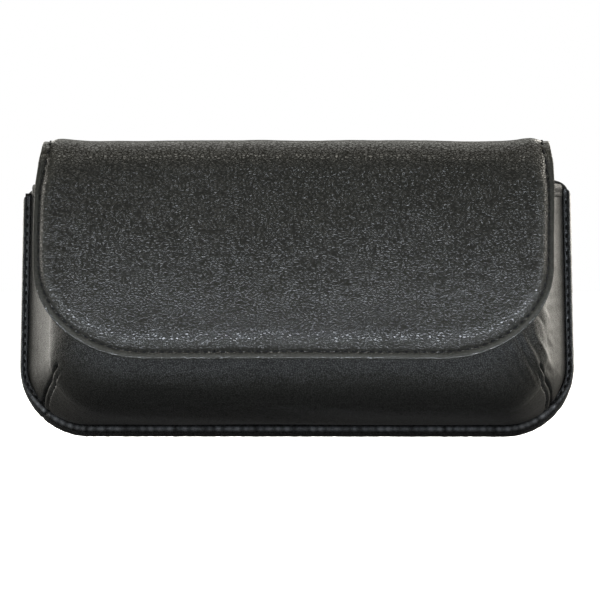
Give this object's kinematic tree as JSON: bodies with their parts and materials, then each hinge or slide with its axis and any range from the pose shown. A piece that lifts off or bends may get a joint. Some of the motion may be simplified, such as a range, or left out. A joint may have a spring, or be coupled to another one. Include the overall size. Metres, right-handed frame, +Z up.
{
  "type": "leather camera case",
  "caption": "Black grained leather ever ready case: a padded pouch with a sewn edge, a flap over the top and front, and a belt loop behind.",
  "frame": {"origin": "under the middle of the case, level with the lower edge of the sewn seam", "axes": "+Z up towards the top of the flap, -Y out of the front of the flap, +X to the right seen from the front"},
  "size_m": [0.1548, 0.0514, 0.082],
  "materials": {
    "grained_leather": "black nappa with a fine pebble grain, soft sheen",
    "binding_leather": "thin black leather, smoother than the panels",
    "lining_cloth": "dark grey brushed microfibre",
    "stiffener_board": "grey-brown fibreboard",
    "padding_foam": "grey open foam and felt",
    "thread": "black bonded thread, slight sheen",
    "magnet": "nickel plated disc"
  },
  "bodies": {
    "pouch": {"back_panel": "grained_leather", "back_board": "stiffener_board", "back_lining": "lining_cloth", "rear_fold_strip": "grained_leather", "front_panel": "grained_leather", "front_padding": "padding_foam", "front_lining": "lining_cloth", "pouch_magnet": "magnet", "mouth_binding": "binding_leather", "edge_binding": "binding_leather", "edge_thread": "thread", "dart_thread_left": "thread", "dart_thread_right": "thread", "mouth_thread": "thread", "belt_loop": "grained_leather", "belt_loop_lining": "lining_cloth", "belt_loop_thread_lower": "thread", "belt_loop_thread_upper": "thread"},
    "flap_top": {"bridge_leather": "grained_leather", "bridge_board": "stiffener_board", "bridge_foam": "padding_foam", "bridge_lining": "lining_cloth", "bridge_thread": "thread", "front_fold_strip": "grained_leather"},
    "flap_front": {"flap_leather": "grained_leather", "flap_board": "stiffener_board", "flap_foam": "padding_foam", "flap_magnet": "magnet", "flap_lining": "lining_cloth", "flap_thread": "thread"}
  },
  "joints": [
    {"name": "flap_hinge", "type": "hinge", "parent": "pouch", "child": "flap_top", "pos_m": [0, 0.01702, 0.08032], "axis": [-1, 0, 0], "range_deg": [0, 220]},
    {"name": "flap_fold", "type": "hinge", "parent": "flap_top", "child": "flap_front", "pos_m": [0, -0.0237, 0.08], "axis": [-1, 0, 0], "range_deg": [0, 85]}
  ]
}
